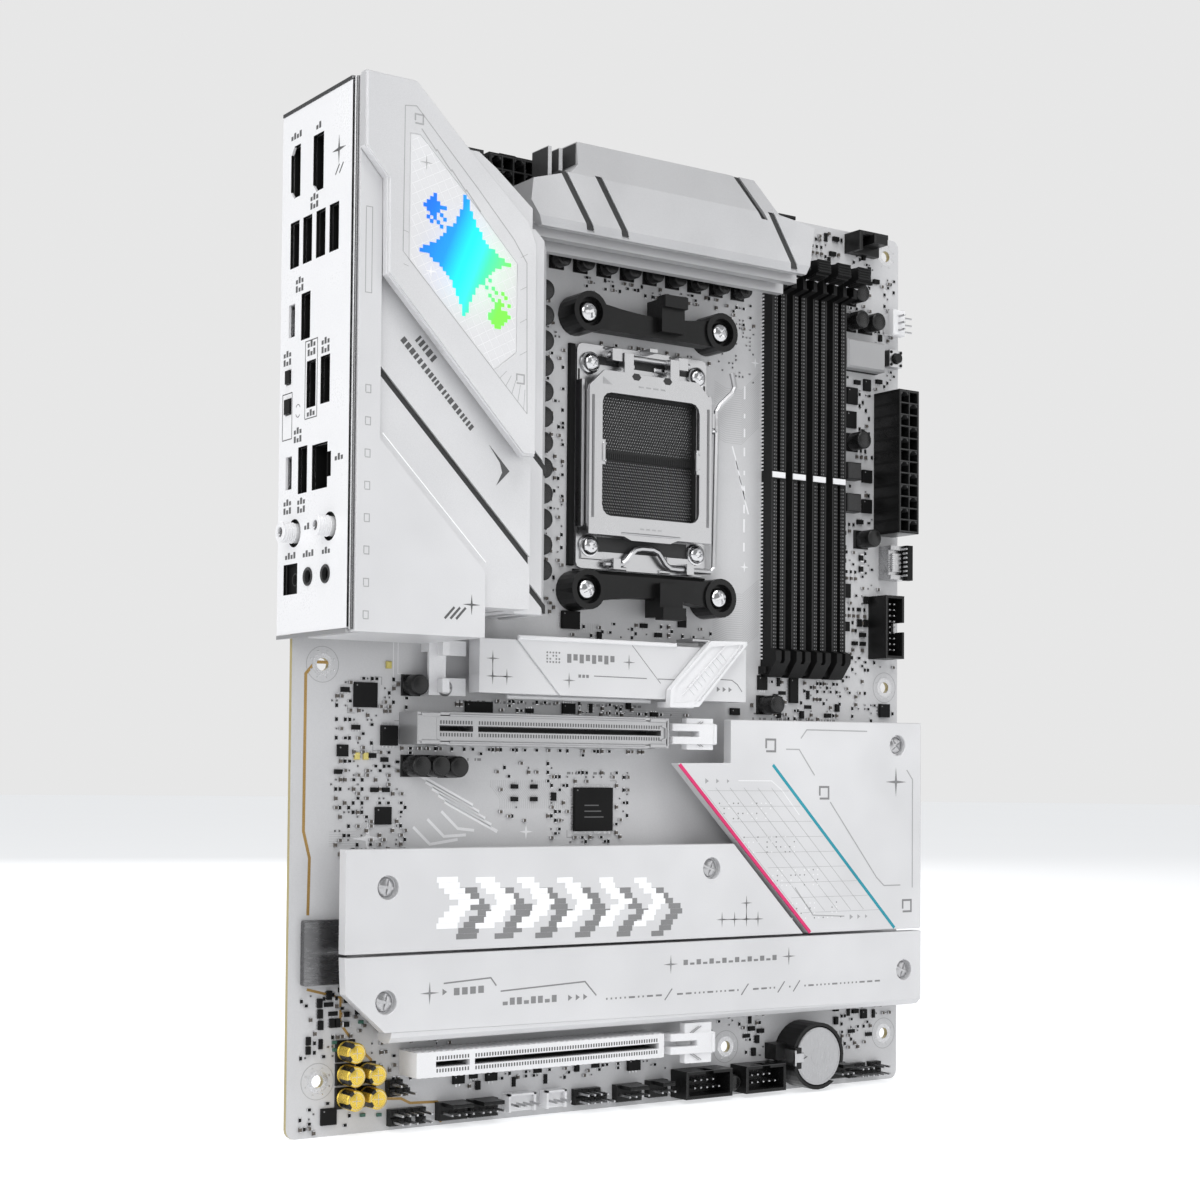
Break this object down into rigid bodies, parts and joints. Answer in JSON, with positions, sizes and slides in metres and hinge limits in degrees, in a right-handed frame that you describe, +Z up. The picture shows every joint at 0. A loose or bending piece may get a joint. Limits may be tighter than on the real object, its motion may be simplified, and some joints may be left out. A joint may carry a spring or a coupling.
{
  "type": "desktop computer motherboard",
  "caption": "Full-size ATX motherboard: circuit board with socket, memory and expansion slots, heatsinks, rear ports, and moving latches, lever, plate and buttons.",
  "frame": {"origin": "centre of the lower rear mounting hole, on the face that rests on the standoffs", "axes": "the board stands upright: +Z up along its 304.8 mm edge, +X from the rear ports towards the front edge, +Y out of the back (tray) side, component side facing -Y"},
  "size_m": [0.2521, 0.0514, 0.3058],
  "materials": {
    "laminate": "pale grey solder mask on glass-fibre laminate",
    "white_metal": "fine-grained white powder coat",
    "silver_metal": "satin silver-white anodised",
    "light_lens": "translucent diffusing lens, lit from behind",
    "shield_paint": "white painted sheet steel",
    "armour_steel": "bright pale plated sheet",
    "bright_steel": "bright nickel-plated steel",
    "port_steel": "tinned steel shells",
    "socket_resin": "dark grey moulded resin",
    "black_plastic": "matt black moulded",
    "white_plastic": "satin white moulded",
    "antenna_metal": "pale nickel-plated, with a white sleeve",
    "cell_steel": "satin stainless steel",
    "shield_steel": "dark satin tinned steel"
  },
  "bodies": {
    "board": {"antenna_post_1": "antenna_metal", "antenna_post_2": "antenna_metal", "atx_power_connector": "black_plastic", "audio_jack_stack": "black_plastic", "audio_shield": "shield_steel", "battery_holder": "black_plastic", "chipset_chip": "socket_resin", "chipset_heatsink": "white_metal", "coin_cell": "cell_steel", "cooler_bracket_bottom": "black_plastic", "cooler_bracket_top": "black_plastic", "cpu_power_connector_1": "black_plastic", "cpu_power_connector_2": "black_plastic", "dimm_slot_1": "black_plastic", "dimm_slot_2": "black_plastic", "dimm_slot_3": "black_plastic", "dimm_slot_4": "black_plastic", "io_cover": "white_metal", "io_cover_panel": "silver_metal", "io_shield": "shield_paint", "lan_jack": "port_steel", "light_window": "light_lens", "m2_bracket": "armour_steel", "m2_heatsink_upper": "white_metal", "m2_plate_lower": "white_metal", "m2_plate_middle": "white_metal", "optical_port": "black_plastic", "pcb": "laminate", "pcie_slot_1": "white_plastic", "pcie_slot_1_armour": "armour_steel", "pcie_slot_2": "white_plastic", "socket_backplate": "bright_steel", "socket_base": "socket_resin", "socket_frame": "bright_steel", "start_button_base": "port_steel", "usb2_header_1": "black_plastic", "usb2_header_2": "black_plastic", "usb2_stack": "port_steel", "usb3_header": "black_plastic", "usb_a_quad_stack": "port_steel", "usb_c_header": "port_steel", "usb_stack_lower": "port_steel", "usb_stack_upper": "port_steel", "video_port_stack": "port_steel", "vrm_heatsink_left": "white_metal", "vrm_heatsink_top": "white_metal"},
    "load_plate": {"load_plate": "bright_steel"},
    "socket_lever": {"socket_lever": "bright_steel"},
    "dimm_latch_1": {"dimm_latch_1": "black_plastic"},
    "dimm_latch_2": {"dimm_latch_2": "black_plastic"},
    "dimm_latch_3": {"dimm_latch_3": "black_plastic"},
    "dimm_latch_4": {"dimm_latch_4": "black_plastic"},
    "pcie_latch_1": {"pcie_latch_1": "white_plastic"},
    "pcie_latch_2": {"pcie_latch_2": "white_plastic"},
    "m2_latch": {"m2_latch": "white_plastic"},
    "start_button": {"start_button": "black_plastic"},
    "clear_cmos_button": {"clear_cmos_button": "black_plastic"},
    "bios_button": {"bios_button": "black_plastic"},
    "optical_shutter": {"optical_shutter": "black_plastic"}
  },
  "joints": [
    {"name": "load_plate_hinge", "type": "hinge", "parent": "board", "child": "load_plate", "pos_m": [0.11734, -0.0056, 0.22979], "axis": [-1, 0, 0], "range_deg": [0, 110]},
    {"name": "socket_lever_hinge", "type": "hinge", "parent": "board", "child": "socket_lever", "pos_m": [0.11734, -0.0047, 0.16109], "axis": [1, 0, 0], "range_deg": [0, 100]},
    {"name": "dimm_latch_1_hinge", "type": "hinge", "parent": "board", "child": "dimm_latch_1", "pos_m": [0.17264, -0.0058, 0.26649], "axis": [-1, 0, 0], "range_deg": [0, 28]},
    {"name": "dimm_latch_2_hinge", "type": "hinge", "parent": "board", "child": "dimm_latch_2", "pos_m": [0.18189, -0.0058, 0.26649], "axis": [-1, 0, 0], "range_deg": [0, 28]},
    {"name": "dimm_latch_3_hinge", "type": "hinge", "parent": "board", "child": "dimm_latch_3", "pos_m": [0.19114, -0.0058, 0.26649], "axis": [-1, 0, 0], "range_deg": [0, 28]},
    {"name": "dimm_latch_4_hinge", "type": "hinge", "parent": "board", "child": "dimm_latch_4", "pos_m": [0.20039, -0.0058, 0.26649], "axis": [-1, 0, 0], "range_deg": [0, 28]},
    {"name": "pcie_latch_1_hinge", "type": "hinge", "parent": "board", "child": "pcie_latch_1", "pos_m": [0.12484, -0.0052, 0.10579], "axis": [0, 0, 1], "range_deg": [0, 18]},
    {"name": "pcie_latch_2_hinge", "type": "hinge", "parent": "board", "child": "pcie_latch_2", "pos_m": [0.12484, -0.0052, 0.00389], "axis": [0, 0, 1], "range_deg": [0, 18]},
    {"name": "m2_latch_slide", "type": "slide", "parent": "board", "child": "m2_latch", "axis": [1, 0, 0], "range_m": [0, 0.003], "stiffness_N_per_m": 250, "springref_m": -0.001},
    {"name": "start_button_travel", "type": "slide", "parent": "board", "child": "start_button", "axis": [0, 1, 0], "range_m": [0, 0.0003], "stiffness_N_per_m": 2000, "springref_m": -0.0003},
    {"name": "clear_cmos_button_travel", "type": "slide", "parent": "board", "child": "clear_cmos_button", "axis": [1, 0, 0], "range_m": [0, 0.0005], "stiffness_N_per_m": 1500, "springref_m": -0.0003},
    {"name": "bios_button_travel", "type": "slide", "parent": "board", "child": "bios_button", "axis": [1, 0, 0], "range_m": [0, 0.0005], "stiffness_N_per_m": 1500, "springref_m": -0.0003},
    {"name": "optical_shutter_hinge", "type": "hinge", "parent": "board", "child": "optical_shutter", "pos_m": [-0.01156, -0.0108, 0.14869], "axis": [0, 0, -1], "range_deg": [0, 80], "stiffness_Nm_per_rad": 0.001, "springref_deg": -17.19}
  ]
}
